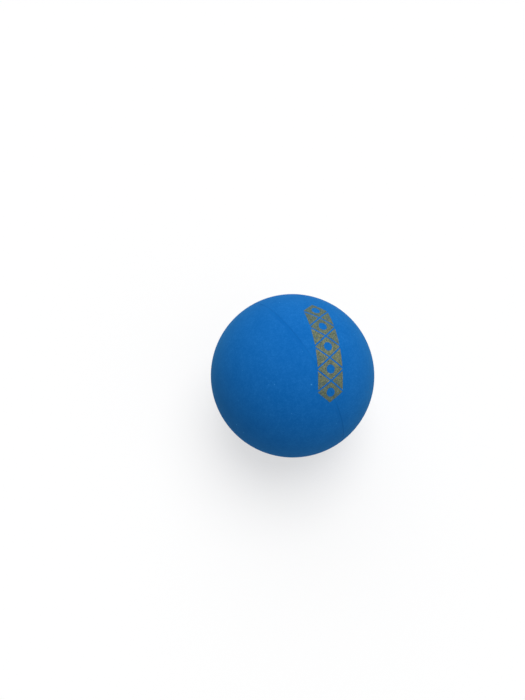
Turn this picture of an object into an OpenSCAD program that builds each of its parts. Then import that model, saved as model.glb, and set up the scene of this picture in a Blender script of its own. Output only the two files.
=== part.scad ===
// Racquetball: a hollow, gas-filled rubber ball made of two moulded half shells.
//
// Each half shell is a dome of even wall. Its rim is a flat land, ground square to the axis, with
// a bevel round its outer edge and another round its inner edge. A film of rubber cement bonds
// the two lands. It fills the groove between the outer bevels, where it is buffed back to just
// under the skin of the ball, and it is squeezed out inside as a bead along the seam.
//
// The origin is the centre of the ball. X is the common axis of the half shells, so the seam lies
// in the YZ plane. Z is up, and the ball rests on its lowest point.

/* [Ball] */
// Outside diameter of the ball
ball_d = 57.15; // [54:0.05:62]
// Wall of each half shell
wall_t = 4.3; // [3.4:0.1:5.4]

/* [Cement film and outer groove] */
// Thickness of the cement film between the two lands
cement_t = 0.3; // [0.2:0.05:0.5]
// Width of the groove where it opens on the skin of the ball
groove_w = 0.9; // [0.6:0.05:1.4]
// Depth of the groove, from the skin inwards
groove_depth = 0.9; // [0.5:0.05:1.3]
// How far the buffed cement lies below the skin of the ball
seam_sink = 0.05; // [0.03:0.01:0.12]

/* [Inner edge and bead] */
// Width of the mouth between the inner bevels, on the wall of the cavity
mouth_w = 0.8; // [0.6:0.05:1.2]
// Depth of the mouth, from the cavity outwards
mouth_depth = 0.5; // [0.3:0.05:0.9]
// Width of the bead where it lies on the wall of the cavity
bead_w = 2.2; // [1.6:0.1:3]
// Height of the bead above the wall of the cavity
bead_h = 0.6; // [0.3:0.05:0.75]

/* [Colours] */
// Colour of the rubber
rubber_colour = "#146dbf"; // [#146dbf, #1f8a3c, #7a2fa0, #d8261c]
// Colour of the cement
cement_colour = "#1164b0"; // [#1164b0, #186c30, #602581, #a81e16]

/* [Hidden] */
$fn = 128;

// How far a cutting shape runs past what it cuts
overrun = 1;

// Radii, from the centre of the ball
ball_r = ball_d / 2;
cavity_r = ball_r - wall_t;
buffed_r = ball_r - seam_sink;
groove_foot_r = ball_r - groove_depth;
mouth_foot_r = cavity_r + mouth_depth;

// How far each bevel rises along the axis for each unit of its depth
groove_slope = (groove_w - cement_t) / 2 / groove_depth;
mouth_slope = (mouth_w - cement_t) / 2 / mouth_depth;

// The bead is a segment of a circle that stands on the wall of the cavity
bead_r = (pow(bead_w / 2, 2) + pow(bead_h, 2)) / (2 * bead_h);
bead_centre_r = cavity_r - bead_h + bead_r;

// Profiles are drawn with the distance from the axis along x, and the place along the axis along y.

// The space between the lands on the right of the seam: film, groove and mouth, each cut to run
// past the wall
module gap_profile() {
    groove_run = groove_depth + overrun;
    mouth_run = mouth_depth + overrun;
    film = cement_t / 2;
    polygon([
        [mouth_foot_r - mouth_run, 0],
        [groove_foot_r + groove_run, 0],
        [groove_foot_r + groove_run, film + groove_run * groove_slope],
        [groove_foot_r, film],
        [mouth_foot_r, film],
        [mouth_foot_r - mouth_run, film + mouth_run * mouth_slope]
    ]);
}

// What is cut off a hollow ball to leave the right half shell: the left half, and the gap
module cut_profile() {
    reach = ball_r + overrun;
    translate([0, -reach]) square(reach);
    gap_profile();
}

// What fills the gap, from the buffed face in the groove to the wall of the cavity
module filling_profile() {
    intersection() {
        difference() {
            circle(r = buffed_r);
            circle(r = cavity_r);
        }
        gap_profile();
    }
}

module bead_profile() {
    intersection() {
        circle(r = cavity_r);
        translate([bead_centre_r, 0]) circle(r = bead_r);
    }
}

module cement_profile() {
    filling_profile();
    mirror([0, 1]) filling_profile();
    bead_profile();
}

// Turns a profile about the axis of the half shells
module revolve() {
    rotate([0, 90, 0]) rotate_extrude() children();
}

// A whole ball. Its poles lie in the seam plane, where the groove takes them off, and the line
// where its skin closes runs over the left side, so a right half cut from it is smooth all over
module ball(radius) {
    rotate([90, 0, 180]) sphere(r = radius);
}

module half_shell() {
    difference() {
        ball(ball_r);
        ball(cavity_r);
        revolve() cut_profile();
    }
}

module right_half_shell() {
    color(rubber_colour) half_shell();
}

module left_half_shell() {
    color(rubber_colour) mirror([1, 0, 0]) half_shell();
}

module seam_cement() {
    color(cement_colour) revolve() cement_profile();
}

left_half_shell();
right_half_shell();
seam_cement();
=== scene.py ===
"""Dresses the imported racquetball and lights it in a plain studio.

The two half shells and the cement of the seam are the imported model's own meshes, and get their
finishes here. One new piece lies on them: the ink of a printed row of generic lozenges. Lengths
are in metres and angles in degrees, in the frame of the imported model: the origin is the centre of
the ball, X is the common axis of the half shells, and Z is up.
"""

from __future__ import annotations

import logging
import math
from collections.abc import Iterator
from contextlib import contextmanager
from dataclasses import dataclass, field
from enum import Enum

import bmesh
import bpy
from mathutils import Euler, Matrix, Vector


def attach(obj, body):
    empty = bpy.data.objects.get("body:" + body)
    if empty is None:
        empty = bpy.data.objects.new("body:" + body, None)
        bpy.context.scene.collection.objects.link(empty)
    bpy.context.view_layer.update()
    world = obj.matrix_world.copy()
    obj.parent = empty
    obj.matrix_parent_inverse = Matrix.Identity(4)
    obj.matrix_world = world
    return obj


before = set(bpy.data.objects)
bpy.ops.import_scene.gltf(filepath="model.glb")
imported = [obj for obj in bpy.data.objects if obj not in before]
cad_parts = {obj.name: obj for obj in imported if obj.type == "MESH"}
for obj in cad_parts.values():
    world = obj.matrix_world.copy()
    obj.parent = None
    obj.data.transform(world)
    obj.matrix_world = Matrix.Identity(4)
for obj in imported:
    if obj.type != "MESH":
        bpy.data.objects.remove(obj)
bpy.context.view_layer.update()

LOG = logging.getLogger("racquetball")

MM = 0.001
# Points this close together count as one, and a point this close to a surface counts as on it
TOUCH = 0.002 * MM

ORIGIN = (0.0, 0.0, 0.0)
ACROSS_SEAM = (1.0, 0.0, 0.0)
UP = (0.0, 0.0, 1.0)
WHITE = (1.0, 1.0, 1.0)

# The base and the height of a circle of three vertices and radius 1
TRIANGLE_BASE = math.sqrt(3)
TRIANGLE_HEIGHT = 1.5

Socket = bpy.types.NodeSocket
Rgb = tuple[float, float, float]
Number = float | Socket
Colour = Rgb | Socket


class Packed(Enum):
    """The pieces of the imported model."""

    LEFT_HALF_SHELL = "left_half_shell"
    RIGHT_HALF_SHELL = "right_half_shell"
    SEAM_CEMENT = "seam_cement"

    @property
    def piece(self) -> bpy.types.Object:
        """The piece itself."""
        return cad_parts[self.value]


class Slot(Enum):
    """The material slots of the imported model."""

    PRINTING_INK = "printing_ink"


class Step(Enum):
    """Steps of arithmetic on the values in a node tree, by Blender's names for them."""

    ADD = "ADD"
    SUBTRACT = "SUBTRACT"
    MULTIPLY = "MULTIPLY"
    LARGER = "MAXIMUM"
    BELOW = "LESS_THAN"
    UNSIGNED = "ABSOLUTE"


@dataclass(frozen=True)
class Ramp:
    """A smooth ramp from low to high, with what it gives before it starts and after it ends."""

    low: float
    high: float
    start: float = 0.0
    end: float = 1.0


@dataclass(frozen=True)
class Noise:
    """A cloudy pattern that fills space, with values around a half.

    The detail is how many finer layers it holds. The seed picks one such pattern from the rest.
    """

    size: float
    detail: float
    seed: float


@dataclass(frozen=True)
class Patches(Noise):
    """A cloudy pattern drawn out into soft patches, from 0 below low to most above high."""

    low: float
    high: float
    most: float = 1.0


@dataclass(frozen=True)
class Speck:
    """One speck of dust on the skin, with a core of full strength and a soft edge."""

    latitude: float
    longitude: float
    radius: float
    strength: float
    core: float = 0.5


@dataclass(frozen=True)
class StrewnSpecks:
    """Faint specks of dust strewn at random, on a share of places that lie a spacing apart."""

    spacing: float = 3.4 * MM
    share: float = 0.3
    radius: float = 0.20 * MM
    strength: float = 0.3
    core: float = 0.6


@dataclass(frozen=True)
class Bloom:
    """The pale bloom on rubber, which shows most towards the edge of the ball."""

    weight: float = 0.07
    tint: Rgb = (0.26, 1.0, 0.22)
    roughness: float = 0.6


# The stretches where the seam shows more, which the rubber and the cement share
SEAM_PATCHES = Patches(11 * MM, detail=1.0, seed=1.0, low=0.35, high=0.65)


class NodeTree:
    """A node tree, with short calls for what every tree here needs."""

    def __init__(self, tree: bpy.types.NodeTree) -> None:
        """Takes up a tree of Blender's."""
        self.nodes = tree.nodes
        self.links = tree.links

    def add(self, kind: str, **settings: object) -> bpy.types.Node:
        """Adds a node.

        Args:
            kind: The type name of the node.
            **settings: Values for the node's own properties.

        Returns:
            The new node.
        """
        node = self.nodes.new(kind)
        for key, value in settings.items():
            setattr(node, key, value)
        return node

    def feed(self, socket: Socket, value: Number | Colour) -> None:
        """Sets an input, by a link where the value is another node's output.

        Args:
            socket: The input.
            value: A number, a colour or an output.
        """
        if isinstance(value, Socket):
            self.links.new(value, socket)
        elif isinstance(value, tuple):
            socket.default_value = (*value, 1.0)
        else:
            socket.default_value = value

    def work(self, step: Step, first: Number, second: Number = 0.0) -> Socket:
        """Adds a step of arithmetic.

        Args:
            step: The step.
            first: Its first value.
            second: Its second value, which a step on one value doesn't read.

        Returns:
            Its result.
        """
        node = self.add("ShaderNodeMath", operation=step.value)
        self.feed(node.inputs[0], first)
        self.feed(node.inputs[1], second)
        return node.outputs["Value"]

    def ramp(self, value: Number, ramp: Ramp) -> Socket:
        """Adds a smooth ramp.

        Args:
            value: What the ramp reads.
            ramp: Its ends, and what it gives there.

        Returns:
            The ramp's value.
        """
        node = self.add("ShaderNodeMapRange", interpolation_type="SMOOTHSTEP")
        self.feed(node.inputs["Value"], value)
        self.feed(node.inputs["From Min"], ramp.low)
        self.feed(node.inputs["From Max"], ramp.high)
        self.feed(node.inputs["To Min"], ramp.start)
        self.feed(node.inputs["To Max"], ramp.end)
        return node.outputs["Result"]


class FinishTree(NodeTree):
    """The node tree of one finish on the ball, with patterns that are fixed to the ball."""

    def __init__(self, name: str) -> None:
        """Starts a material with one plain surface.

        Args:
            name: The name of the material.
        """
        self.material = bpy.data.materials.new(name)
        self.material.use_nodes = True
        super().__init__(self.material.node_tree)
        self.surface = self.nodes["Principled BSDF"]
        self.place = self.add("ShaderNodeTexCoord").outputs["Object"]

    def noise(self, noise: Noise) -> Socket:
        """Adds a cloudy pattern.

        Args:
            noise: Its size, detail and seed.

        Returns:
            The pattern's value, which lies around a half.
        """
        node = self.add("ShaderNodeTexNoise", noise_dimensions="4D")
        self.feed(node.inputs["Vector"], self.place)
        self.feed(node.inputs["W"], noise.seed)
        self.feed(node.inputs["Scale"], 1 / noise.size)
        self.feed(node.inputs["Detail"], noise.detail)
        return node.outputs["Fac"]

    def patches(self, patches: Patches) -> Socket:
        """Adds soft patches, whose strength goes from 0 to their most."""
        return self.ramp(self.noise(patches), Ramp(patches.low, patches.high, end=patches.most))

    def mix(self, share: Number, first: Colour, second: Colour) -> Socket:
        """Adds a mix of two colours.

        Args:
            share: How much of the second colour shows.
            first: The first colour.
            second: The second colour.

        Returns:
            The mixed colour.
        """
        node = self.add("ShaderNodeMixRGB")
        self.feed(node.inputs["Fac"], share)
        self.feed(node.inputs["Color1"], first)
        self.feed(node.inputs["Color2"], second)
        return node.outputs["Color"]

    def strewn(self, specks: StrewnSpecks) -> Socket:
        """Adds round specks, strewn at random.

        Args:
            specks: How they are strewn, and their size and strength.

        Returns:
            Their strength on a speck and 0 elsewhere.
        """
        cells = self.add("ShaderNodeTexVoronoi")
        self.feed(cells.inputs["Vector"], self.place)
        self.feed(cells.inputs["Scale"], 1 / specks.spacing)
        # The cells give distances as shares of the spacing
        radius = specks.radius / specks.spacing
        edge = Ramp(specks.core * radius, radius, start=specks.strength, end=0.0)
        chance = self.add("ShaderNodeSeparateColor")
        self.feed(chance.inputs["Color"], cells.outputs["Color"])
        held = self.work(Step.BELOW, chance.outputs["Red"], specks.share)
        return self.work(Step.MULTIPLY, self.ramp(cells.outputs["Distance"], edge), held)

    def spot(self, speck: Speck, point: Vector) -> Socket:
        """Adds one speck round a point, with its strength on it and 0 elsewhere."""
        edge = Ramp(speck.core * speck.radius, speck.radius, start=speck.strength, end=0.0)
        return self.ramp(self.distance_to(point), edge)

    def distance_to(self, point: Vector) -> Socket:
        """Adds the distance from a point.

        Args:
            point: The point.

        Returns:
            The distance.
        """
        node = self.add("ShaderNodeVectorMath", operation="DISTANCE")
        self.feed(node.inputs[0], self.place)
        node.inputs[1].default_value = point
        return node.outputs["Value"]

    def from_seam(self) -> Socket:
        """Adds the distance from the seam's plane.

        Returns:
            The distance.
        """
        split = self.add("ShaderNodeSeparateXYZ")
        self.feed(split.inputs["Vector"], self.place)
        return self.work(Step.UNSIGNED, split.outputs["X"])

    def coat(self, colour: Colour, roughness: float, gloss: float) -> None:
        """Gives the surface its colour and shine.

        Args:
            colour: The colour.
            roughness: How widely its shine spreads.
            gloss: How strong its shine is.
        """
        self.feed(self.surface.inputs["Base Color"], colour)
        self.feed(self.surface.inputs["Roughness"], roughness)
        self.feed(self.surface.inputs["Specular IOR Level"], gloss)

    def bloom(self, bloom: Bloom) -> None:
        """Gives the surface the fine pale bloom of rubber.

        Args:
            bloom: Its strength, tint and spread.
        """
        self.feed(self.surface.inputs["Sheen Weight"], bloom.weight)
        self.feed(self.surface.inputs["Sheen Tint"], bloom.tint)
        self.feed(self.surface.inputs["Sheen Roughness"], bloom.roughness)

    def relief(self, height: Number, depth: float) -> None:
        """Gives the surface a fine relief.

        Args:
            height: The relief, from 0 to 1.
            depth: How deep it is between 0 and 1.
        """
        node = self.add("ShaderNodeBump")
        self.feed(node.inputs["Distance"], depth)
        self.feed(node.inputs["Height"], height)
        self.feed(self.surface.inputs["Normal"], node.outputs["Normal"])


@dataclass(frozen=True)
class RubberFinish:
    """Moulded rubber, ground matt all over, with a little dust, and painted shade and grime by the
    seam.
    """

    name: str = "ground_rubber"
    pigment: Rgb = (0.0023, 0.134, 0.488)
    chalky: Rgb = (0.0115, 0.174, 0.565)
    # The colour of the painted shade and grime beside the seam
    grimy_and_shaded: Rgb = (0.0023, 0.126, 0.476)
    dusty: Rgb = (0.060, 0.360, 0.800)
    # Three layers of chalk, which add up and are broken by the grain
    clouds: Patches = Patches(6 * MM, detail=3.0, seed=0.0, low=0.35, high=0.65, most=0.22)
    smudges: Patches = Patches(1.3 * MM, detail=3.0, seed=4.0, low=0.40, high=0.75, most=0.28)
    mottle: Patches = Patches(0.6 * MM, detail=2.0, seed=12.0, low=0.35, high=0.65, most=0.32)
    grain: Noise = Noise(0.22 * MM, detail=3.0, seed=9.0)
    chalk_on_grain: Ramp = Ramp(0.3, 0.7, start=0.3, end=1.7)
    grain_depth: float = 0.012 * MM
    strewn: StrewnSpecks = StrewnSpecks()
    specks: tuple[Speck, ...] = (
        Speck(54.4, -104.3, radius=0.32 * MM, strength=0.72),
        Speck(54.9, -143.6, radius=0.26 * MM, strength=0.42),
        Speck(12.0, -165.5, radius=0.34 * MM, strength=0.8),
        Speck(8.6, -159.3, radius=0.28 * MM, strength=0.6),
        Speck(37.9, -125.5, radius=0.24 * MM, strength=0.3),
        Speck(21.1, -93.6, radius=0.24 * MM, strength=0.3),
        Speck(50.3, 178.0, radius=0.22 * MM, strength=0.26),
        Speck(75.1, -98.5, radius=0.24 * MM, strength=0.22),
        Speck(59.8, 70.6, radius=0.26 * MM, strength=0.4),
        Speck(43.0, -22.7, radius=0.24 * MM, strength=0.3),
        Speck(53.6, -149.7, radius=0.20 * MM, strength=0.2),
    )
    # Painted shade and grime beside the seam: how it falls off, and how strong it is where the seam
    # shows most
    grime_and_shade_reach: Ramp = Ramp(0.45 * MM, 0.95 * MM, start=1.0, end=0.0)
    grime_and_shade: float = 0.45
    seam_patches: Patches = SEAM_PATCHES
    roughness: float = 0.78
    gloss: float = 0.05
    bloom: Bloom = Bloom()

    def material(self, skin: Skin) -> bpy.types.Material:
        """Builds the material.

        Args:
            skin: The outside of the ball.

        Returns:
            The material.
        """
        tree = FinishTree(self.name)
        grain = tree.noise(self.grain)
        chalk = tree.patches(self.clouds)
        for layer in (self.smudges, self.mottle):
            chalk = tree.work(Step.ADD, chalk, tree.patches(layer))
        chalk = tree.work(Step.MULTIPLY, chalk, tree.ramp(grain, self.chalk_on_grain))
        colour = tree.mix(chalk, self.pigment, self.chalky)
        # Painted shade and grime beside the seam, strongest where the seam shows most
        shown = tree.ramp(tree.patches(self.seam_patches), Ramp(0.0, 1.0, end=self.grime_and_shade))
        near = tree.ramp(tree.from_seam(), self.grime_and_shade_reach)
        colour = tree.mix(tree.work(Step.MULTIPLY, near, shown), colour, self.grimy_and_shaded)
        colour = tree.mix(tree.strewn(self.strewn), colour, self.dusty)
        for speck in self.specks:
            point = skin.point(speck.latitude, speck.longitude)
            colour = tree.mix(tree.spot(speck, point), colour, self.dusty)
        tree.coat(colour, self.roughness, self.gloss)
        tree.bloom(self.bloom)
        tree.relief(grain, self.grain_depth)
        return tree.material


@dataclass(frozen=True)
class CementFinish:
    """Cured rubber cement, buffed back with the skin, a shade darker than the rubber."""

    name: str = "buffed_cement"
    pigment: Rgb = (0.004, 0.149, 0.517)
    deep: Rgb = (0.002, 0.136, 0.490)
    seam_patches: Patches = SEAM_PATCHES
    grain: Noise = Noise(0.15 * MM, detail=2.0, seed=6.0)
    grain_depth: float = 0.008 * MM
    roughness: float = 0.7
    gloss: float = 0.05
    bloom: Bloom = Bloom()

    def material(self) -> bpy.types.Material:
        """Builds the material.

        Returns:
            The material.
        """
        tree = FinishTree(self.name)
        colour = tree.mix(tree.patches(self.seam_patches), self.pigment, self.deep)
        tree.coat(colour, self.roughness, self.gloss)
        tree.bloom(self.bloom)
        tree.relief(tree.noise(self.grain), self.grain_depth)
        return tree.material


@dataclass(frozen=True)
class InkFinish:
    """Olive gold printing ink, thin and worn, so that the rubber shows through in specks."""

    name: str = "worn_ink"
    gold: Rgb = (0.192, 0.211, 0.112)
    olive: Rgb = (0.104, 0.149, 0.112)
    worn: Rgb = (0.086, 0.132, 0.100)
    # The colours of the painted shade in the pits and of the painted glints
    pit_shade_colour: Rgb = (0.060, 0.080, 0.058)
    glint_colour: Rgb = (0.300, 0.300, 0.150)
    rubber: Rgb = (0.008, 0.146, 0.516)
    blotches: Patches = Patches(1.4 * MM, detail=3.0, seed=1.0, low=0.3, high=0.7)
    grain: Noise = Noise(0.40 * MM, detail=3.0, seed=5.0)
    grain_depth: float = 0.014 * MM
    # How the ink thins with the distance from where it lies heaviest
    thinning: Ramp = Ramp(1 * MM, 19 * MM)
    # Painted shade darkens the ink where the grain lies low, and painted glints lighten it where
    # the grain lies high; thin ink loses a share of its glints
    painted_pit_shade: Ramp = Ramp(0.34, 0.47, start=0.95, end=0.0)
    painted_glints: Ramp = Ramp(0.535, 0.68, end=0.95)
    painted_glints_lost: float = 0.5
    # Where this pattern is high the ink is gone, and thin ink adds a little to it
    fading: Noise = Noise(0.40 * MM, detail=2.0, seed=8.0)
    faded_if_thin: float = 0.03
    gone: Ramp = Ramp(0.62, 0.74)
    roughness: float = 0.6
    gloss: float = 0.15

    def material(self, heaviest: Vector) -> bpy.types.Material:
        """Builds the material.

        Args:
            heaviest: Where the ink lies heaviest.

        Returns:
            The material.
        """
        tree = FinishTree(self.name)
        grain = tree.noise(self.grain)
        thin = tree.ramp(tree.distance_to(heaviest), self.thinning)
        colour = tree.mix(tree.patches(self.blotches), self.gold, self.olive)
        colour = tree.mix(thin, colour, self.worn)
        # Painted shade in the low spots of the grain, and painted glints on its high spots
        colour = tree.mix(tree.ramp(grain, self.painted_pit_shade), colour, self.pit_shade_colour)
        lost = tree.work(Step.MULTIPLY, thin, self.painted_glints_lost)
        kept = tree.work(Step.SUBTRACT, 1.0, lost)
        painted_glints = tree.work(Step.MULTIPLY, tree.ramp(grain, self.painted_glints), kept)
        colour = tree.mix(painted_glints, colour, self.glint_colour)
        added = tree.work(Step.MULTIPLY, thin, self.faded_if_thin)
        fading = tree.work(Step.ADD, tree.noise(self.fading), added)
        colour = tree.mix(tree.ramp(fading, self.gone), colour, self.rubber)
        tree.coat(colour, self.roughness, self.gloss)
        tree.relief(grain, self.grain_depth)
        return tree.material


@contextmanager
def editing(piece: bpy.types.Object) -> Iterator[None]:
    """Opens one piece in edit mode, with all of it selected.

    Args:
        piece: The piece.

    Yields:
        Nothing. Edit mode ends with the block.
    """
    select_only(piece)
    bpy.ops.object.mode_set(mode="EDIT")
    bpy.ops.mesh.select_mode(type="FACE")
    bpy.ops.mesh.select_all(action="SELECT")
    yield
    bpy.ops.object.mode_set(mode="OBJECT")


def select_only(*pieces: bpy.types.Object) -> None:
    """Selects these pieces and makes the first one active.

    Args:
        *pieces: The pieces.
    """
    bpy.ops.object.select_all(action="DESELECT")
    for piece in pieces:
        piece.select_set(True)
    bpy.context.view_layer.objects.active = pieces[0]


def apply_turn() -> None:
    """Moves the turn of the selected piece into its mesh."""
    bpy.ops.object.transform_apply(location=False, rotation=True, scale=False)


def apply_modifier(piece: bpy.types.Object, kind: str, **settings: object) -> None:
    """Adds a modifier and applies it.

    Args:
        piece: The piece.
        kind: The modifier's type.
        **settings: Its settings.
    """
    select_only(piece)
    modifier = piece.modifiers.new(kind.lower(), kind)
    for key, value in settings.items():
        setattr(modifier, key, value)
    bpy.ops.object.modifier_apply(modifier=modifier.name)


def slice_across(normal: Vector, offsets: list[float]) -> None:
    """Cuts the mesh in edit mode by parallel planes, and keeps all of it.

    Args:
        normal: The direction across the planes.
        offsets: Where each plane lies along it.
    """
    for offset in offsets:
        bpy.ops.mesh.select_all(action="SELECT")
        bpy.ops.mesh.bisect(plane_co=normal * offset, plane_no=normal, threshold=TOUCH)
    bpy.ops.mesh.select_all(action="SELECT")
    bpy.ops.mesh.dissolve_degenerate(threshold=TOUCH)


@dataclass
class Skin:
    """The outside of the ball as it is packed: the skin, and the groove along the seam.

    The groove is given by its half width at its edge, and at its foot, where the cement shows.
    """

    radius: float = field(init=False)
    cement_radius: float = field(init=False)
    groove_edge: float = field(init=False)
    groove_foot: float = field(init=False)

    def __post_init__(self) -> None:
        """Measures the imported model."""
        shell = [v.co for v in Packed.RIGHT_HALF_SHELL.piece.data.vertices]
        cement = [v.co for v in Packed.SEAM_CEMENT.piece.data.vertices]
        self.radius = max(co.length for co in shell)
        self.cement_radius = max(co.length for co in cement)
        self.groove_edge = min(co.x for co in shell if co.length > self.radius - TOUCH)
        self.groove_foot = max(co.x for co in cement if co.length > self.cement_radius - TOUCH)

    def point(self, latitude: float, longitude: float) -> Vector:
        """Finds a point of the skin.

        Args:
            latitude: How far up it lies.
            longitude: How far round it lies from +X.

        Returns:
            The point.
        """
        up = math.radians(latitude)
        turn = math.radians(longitude)
        flat = math.cos(up)
        return Vector((flat * math.cos(turn), flat * math.sin(turn), math.sin(up))) * self.radius


@dataclass
class HalfShells:
    """The two moulded half shells."""

    skin: Skin
    finish: RubberFinish = RubberFinish()

    def dress(self) -> list[bpy.types.Object]:
        """Gives both half shells their finish.

        Returns:
            The two half shells.
        """
        material = self.finish.material(self.skin)
        shells = [Packed.LEFT_HALF_SHELL.piece, Packed.RIGHT_HALF_SHELL.piece]
        for shell in shells:
            shell.data.materials[0] = material
        return shells


@dataclass
class Seam:
    """The cement between the half shells, which shows as a fine line round the ball."""

    finish: CementFinish = CementFinish()

    def dress(self) -> bpy.types.Object:
        """Gives the cement its finish.

        Returns:
            The cement.
        """
        cement = Packed.SEAM_CEMENT.piece
        cement.data.materials[0] = self.finish.material()
        return cement


@dataclass
class PrintedRow:
    """The ink of a row of lozenges with darts between them, printed across the seam.

    The motifs are drawn flat on the top of the ball, with the row along X. They are laid on the
    ball there, copied along the row, and turned to their place together. The heading turns the
    row from north towards east. Where the ink lies heaviest is given in pitches from the middle
    of the row.
    """

    skin: Skin
    name: str = "printed_row"
    latitude: float = 65.6
    longitude: float = -53.9
    heading: float = -119.7
    lozenges: int = 5
    half_length: float = 3.25 * MM
    half_width: float = 4.3 * MM
    hole_radius: float = 1.4 * MM
    gap: float = 0.5 * MM
    side_parts: int = 12
    band_parts: int = 5
    ragged: float = 0.05 * MM
    proud: float = 0.02 * MM
    film: float = 0.05 * MM
    smooth_below: float = 40.0
    heaviest: float = 0.5
    finish: InkFinish = InkFinish()

    def build(self) -> bpy.types.Object:
        """Builds the ink.

        Returns:
            The finished piece, which rides on the ball.
        """
        lozenge = self._lozenge()
        darts = self._darts()
        half = (self.lozenges - 1) / 2
        motifs = [self._copy(lozenge, step - half) for step in range(self.lozenges)]
        motifs += [self._copy(darts, step - half + 0.5) for step in range(self.lozenges - 1)]
        for first in (lozenge, darts):
            bpy.data.objects.remove(first)
        select_only(*motifs)
        bpy.ops.object.join()
        row = bpy.context.active_object
        row.name = self.name
        row.data.name = self.name
        self._turn_to_place(row)
        self._press_into_groove(row)
        apply_modifier(row, "SOLIDIFY", thickness=self.film, offset=-1.0)
        bpy.ops.object.shade_smooth_by_angle(angle=math.radians(self.smooth_below))
        row.data.materials.clear()
        row.data.materials.append(self.finish.material(self._point_along(self.heaviest)))
        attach(row, "root")
        return row

    @property
    def pitch(self) -> float:
        """The distance from one lozenge to the next, along the row."""
        return 2 * self.half_length + self._gap_along

    @property
    def _side(self) -> float:
        """The length of one side of a lozenge."""
        return math.hypot(self.half_length, self.half_width)

    @property
    def _gap_along(self) -> float:
        """The gap between two slanting sides, measured along the row."""
        return self.gap * self._side / self.half_width

    @property
    def _gap_across(self) -> float:
        """The gap between two slanting sides, measured across the row."""
        return self.gap * self._side / self.half_length

    def _lozenge(self) -> bpy.types.Object:
        """Draws one lozenge with a round hole in its middle.

        Returns:
            The lozenge, laid on the top of the ball.
        """
        bpy.ops.mesh.primitive_circle_add(vertices=4, radius=1.0, location=ORIGIN)
        piece = bpy.context.active_object
        with editing(piece):
            bpy.ops.mesh.select_mode(type="EDGE")
            bpy.ops.mesh.select_all(action="SELECT")
            bpy.ops.transform.resize(
                value=(self.half_length, self.half_width, 1.0), center_override=ORIGIN
            )
            bpy.ops.mesh.subdivide(number_cuts=self.side_parts - 1)
            bpy.ops.mesh.primitive_circle_add(
                vertices=4 * self.side_parts, radius=self.hole_radius, location=ORIGIN
            )
            bpy.ops.mesh.select_all(action="SELECT")
            bpy.ops.mesh.bridge_edge_loops(number_cuts=self.band_parts - 1, interpolation="LINEAR")
            bpy.ops.mesh.flip_normals()
        self._lay_on_ball(piece)
        return piece

    def _darts(self) -> bpy.types.Object:
        """Draws the pair of darts that fill the row's edges between two lozenges.

        Returns:
            The darts, laid on the top of the ball.
        """
        slope = self.half_width / self.half_length
        apex = self.half_width + self._gap_across - slope * self.pitch / 2
        base = self.pitch - 2 * self._gap_along
        height = self.half_width - apex
        bpy.ops.mesh.primitive_circle_add(
            vertices=3, radius=1.0, fill_type="NGON", location=ORIGIN, rotation=(0.0, 0.0, math.pi)
        )
        piece = bpy.context.active_object
        apply_turn()
        with editing(piece):
            bpy.ops.transform.resize(
                value=(base / TRIANGLE_BASE, height / TRIANGLE_HEIGHT, 1.0), center_override=ORIGIN
            )
            # The middle of a triangle lies a third of its height from its base
            bpy.ops.transform.translate(value=(0.0, self.half_width - height / 3, 0.0))
            bpy.ops.mesh.subdivide(number_cuts=self.side_parts - 1)
            bpy.ops.mesh.duplicate()
            bpy.ops.transform.rotate(value=math.pi, orient_axis="Z", center_override=ORIGIN)
        self._lay_on_ball(piece)
        return piece

    def _lay_on_ball(self, piece: bpy.types.Object) -> None:
        """Makes the edges of a flat motif a little ragged and rounds it to the top of the ball.

        Args:
            piece: The flat motif.
        """
        with editing(piece):
            seed = len(piece.data.vertices)
            bpy.ops.mesh.region_to_loop()
            bpy.ops.transform.vertex_random(offset=self.ragged, normal=0.0, seed=seed)
            bpy.ops.mesh.select_all(action="SELECT")
            bpy.ops.transform.translate(value=(0.0, 0.0, self.skin.radius))
        apply_modifier(
            piece, "CAST", cast_type="SPHERE", factor=1.0, size=self.skin.radius + self.proud,
            use_radius_as_size=False,
        )

    def _copy(self, motif: bpy.types.Object, steps: float) -> bpy.types.Object:
        """Copies a motif to its place along the row.

        Args:
            motif: The motif on the top of the ball.
            steps: How many pitches from the row's middle the copy lies.

        Returns:
            The copy.
        """
        select_only(motif)
        bpy.ops.object.duplicate()
        copy = bpy.context.active_object
        copy.rotation_euler = (0.0, steps * self.pitch / self.skin.radius, 0.0)
        apply_turn()
        return copy

    def _turn(self) -> Matrix:
        """Works out the turn from the top of the ball to where the row is printed.

        Returns:
            The turn, whose columns point along the row, across it and outward.
        """
        outward = self.skin.point(self.latitude, self.longitude).normalized()
        east = Vector(UP).cross(outward).normalized()
        north = outward.cross(east)
        heading = math.radians(self.heading)
        along = north * math.cos(heading) + east * math.sin(heading)
        return Matrix((along, outward.cross(along), outward)).transposed()

    def _point_along(self, steps: float) -> Vector:
        """Finds the point of the printed row's middle line so many pitches from its middle."""
        angle = steps * self.pitch / self.skin.radius
        return self._turn() @ Vector((math.sin(angle), 0.0, math.cos(angle))) * self.skin.radius

    def _turn_to_place(self, row: bpy.types.Object) -> None:
        """Turns the row from the top of the ball to where it is printed.

        Args:
            row: The joined row.
        """
        row.rotation_euler = self._turn().to_euler()
        select_only(row)
        apply_turn()

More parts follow.
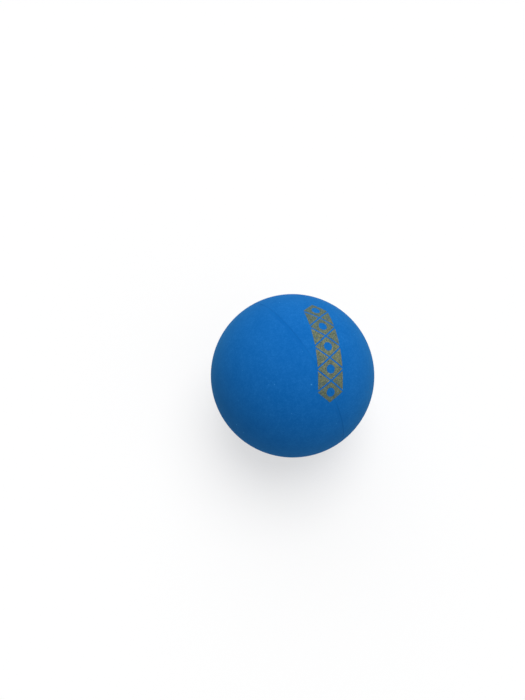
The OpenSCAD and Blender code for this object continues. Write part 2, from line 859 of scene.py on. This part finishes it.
    def _press_into_groove(self, row: bpy.types.Object) -> None:
        """Makes the ink follow the groove of the seam, down to the cement and up again.

        Args:
            row: The row in its place.
        """
        edge = self.skin.groove_edge
        foot = self.skin.groove_foot
        ratio = (self.skin.cement_radius + self.proud) / (self.skin.radius + self.proud)
        with editing(row):
            slice_across(Vector(ACROSS_SEAM), [-edge, -foot, foot, edge])
            bpy.ops.mesh.select_mode(type="VERT")
            bpy.ops.mesh.select_all(action="DESELECT")
            mesh = bmesh.from_edit_mesh(row.data)
            for vertex in mesh.verts:
                vertex.select_set(abs(vertex.co.x) < foot + TOUCH)
            mesh.select_flush(True)
            bmesh.update_edit_mesh(row.data)
            bpy.ops.transform.resize(value=(ratio,) * 3, center_override=ORIGIN)


@dataclass(frozen=True)
class SoftLamp:
    """A broad lamp, far away, with the same level everywhere. Its azimuth counts from +X."""

    name: str
    azimuth: float
    elevation: float
    level: float
    breadth: float

    def build(self) -> bpy.types.Object:
        """Builds the lamp.

        Returns:
            The lamp.
        """
        light = bpy.data.lights.new(self.name, "SUN")
        # A sun of strength pi brings a white surface that faces it to a level of 1
        light.energy = self.level * math.pi
        light.angle = math.radians(self.breadth)
        lamp = bpy.data.objects.new(self.name, light)
        bpy.context.scene.collection.objects.link(lamp)
        tilt = math.pi / 2 - math.radians(self.elevation)
        turn = math.pi / 2 + math.radians(self.azimuth)
        lamp.rotation_euler = Euler((tilt, 0.0, turn))
        return lamp


@dataclass(frozen=True)
class PhotoCamera:
    """The camera of the photograph: its place and its lens, solved from the outlines there."""

    name: str = "photo_camera"
    picture_width: int = 525
    picture_height: int = 700
    focal_px: float = 540.3
    ball_px: tuple[float, float] = (291.9, 375.2)
    distance: float = 191.6 * MM
    azimuth: float = -28.9
    tilt: float = 59.2
    roll: float = -5.7
    clip_start: float = 0.01
    clip_end: float = 20.0

    def build(self) -> bpy.types.Object:
        """Builds the camera and makes it the scene's own.

        Returns:
            The camera.
        """
        data = bpy.data.cameras.new(self.name)
        data.lens = self.focal_px / max(self.picture_width, self.picture_height) * data.sensor_width
        data.clip_start = self.clip_start
        data.clip_end = self.clip_end
        camera = bpy.data.objects.new(self.name, data)
        bpy.context.scene.collection.objects.link(camera)
        turn = (
            Matrix.Rotation(math.radians(self.azimuth), 3, "Z")
            @ Matrix.Rotation(math.pi / 2 - math.radians(self.tilt), 3, "X")
            @ Matrix.Rotation(math.radians(self.roll), 3, "Z")
        )
        right = (self.ball_px[0] - self.picture_width / 2) / self.focal_px
        down = (self.ball_px[1] - self.picture_height / 2) / self.focal_px
        ball = Vector((right, -down, -1.0)).normalized() * self.distance
        camera.matrix_world = Matrix.Translation(-(turn @ ball)) @ turn.to_4x4()
        bpy.context.scene.camera = camera
        return camera


class StudioTree(NodeTree):
    """The node tree of a studio surface, which may look one way and give light another way."""

    def seen(self) -> Socket:
        """Adds a switch for what the camera sees, straight or in a reflection.

        Returns:
            1 where the camera sees the surface and 0 where it only gives light.
        """
        path = self.add("ShaderNodeLightPath").outputs
        mirrored = self.work(Step.LARGER, path["Is Glossy Ray"], path["Is Transmission Ray"])
        return self.work(Step.LARGER, path["Is Camera Ray"], mirrored)

    def matt(self, colour: Rgb) -> Socket:
        """Adds a matt surface.

        Args:
            colour: Its colour.

        Returns:
            The surface.
        """
        node = self.add("ShaderNodeBsdfDiffuse")
        self.feed(node.inputs["Color"], colour)
        return node.outputs["BSDF"]

    def blend(self, share: Number, first: Socket, second: Socket) -> Socket:
        """Adds a blend of two surfaces.

        Args:
            share: How much of the second surface shows.
            first: The first surface.
            second: The second surface.

        Returns:
            The blended surface.
        """
        node = self.add("ShaderNodeMixShader")
        self.feed(node.inputs["Fac"], share)
        self.feed(node.inputs[1], first)
        self.feed(node.inputs[2], second)
        return node.outputs["Shader"]


@dataclass
class Studio:
    """A plain pale floor, a white surround, and soft light from above."""

    ball_radius: float
    floor_size: float = 8.0
    sky_level: float = 0.265
    bounce: Rgb = (0.44, 0.44, 0.44)
    shadow_share: float = 0.4
    lamps: tuple[SoftLamp, ...] = (
        SoftLamp("overhead", azimuth=8.0, elevation=73.0, level=0.57, breadth=50.0),
        SoftLamp("behind", azimuth=61.0, elevation=40.0, level=0.20, breadth=60.0),
        SoftLamp("front", azimuth=-74.0, elevation=40.0, level=0.11, breadth=60.0),
    )
    camera: PhotoCamera = PhotoCamera()

    def build(self) -> None:
        """Builds the floor, the surround, the lamps and the camera."""
        self._floor()
        self._surround()
        for lamp in self.lamps:
            lamp.build()
        self.camera.build()
        bpy.context.scene.view_settings.view_transform = "Standard"

    def _surround(self) -> None:
        """Makes the world white to the eye, and a soft even light."""
        world = bpy.data.worlds.new("surround")
        bpy.context.scene.world = world
        world.use_nodes = True
        tree = StudioTree(world.node_tree)
        background = tree.nodes["Background"]
        tree.feed(background.inputs["Color"], WHITE)
        level = tree.ramp(tree.seen(), Ramp(0.0, 1.0, start=self.sky_level, end=1.0))
        tree.feed(background.inputs["Strength"], level)

    def _floor(self) -> None:
        """Lays the floor under the ball, white to the eye, with the ball's soft shadow on it.

        From below it can be seen through.
        """
        under_ball = (0.0, 0.0, -self.ball_radius)
        bpy.ops.mesh.primitive_plane_add(size=self.floor_size, location=under_ball)
        floor = bpy.context.active_object
        floor.name = "floor"
        material = bpy.data.materials.new("pale_floor")
        material.use_nodes = True
        tree = StudioTree(material.node_tree)
        tree.nodes.remove(tree.nodes["Principled BSDF"])
        glow = tree.add("ShaderNodeEmission").outputs["Emission"]
        clear = tree.add("ShaderNodeBsdfTransparent").outputs["BSDF"]
        below = tree.add("ShaderNodeNewGeometry").outputs["Backfacing"]
        shown = tree.blend(self.shadow_share, glow, tree.matt(WHITE))
        above = tree.blend(tree.seen(), tree.matt(self.bounce), shown)
        whole = tree.blend(below, above, clear)
        tree.feed(tree.nodes["Material Output"].inputs["Surface"], whole)
        floor.data.materials.append(material)


def report(piece: bpy.types.Object) -> None:
    """Logs a piece with its size."""
    size = " x ".join(f"{length / MM:.1f}" for length in piece.dimensions)
    LOG.info("%s: %d faces, %s mm", piece.name, len(piece.data.polygons), size)


def main() -> None:
    """Dresses the ball, prints its row of lozenges and builds the studio."""
    logging.basicConfig(level=logging.INFO, format="%(name)s: %(message)s")
    bpy.ops.object.select_all(action="DESELECT")
    skin = Skin()
    for shell in HalfShells(skin).dress():
        report(shell)
    report(Seam().dress())
    report(PrintedRow(skin).build())
    Studio(skin.radius).build()


if __name__ == "__main__":
    main()
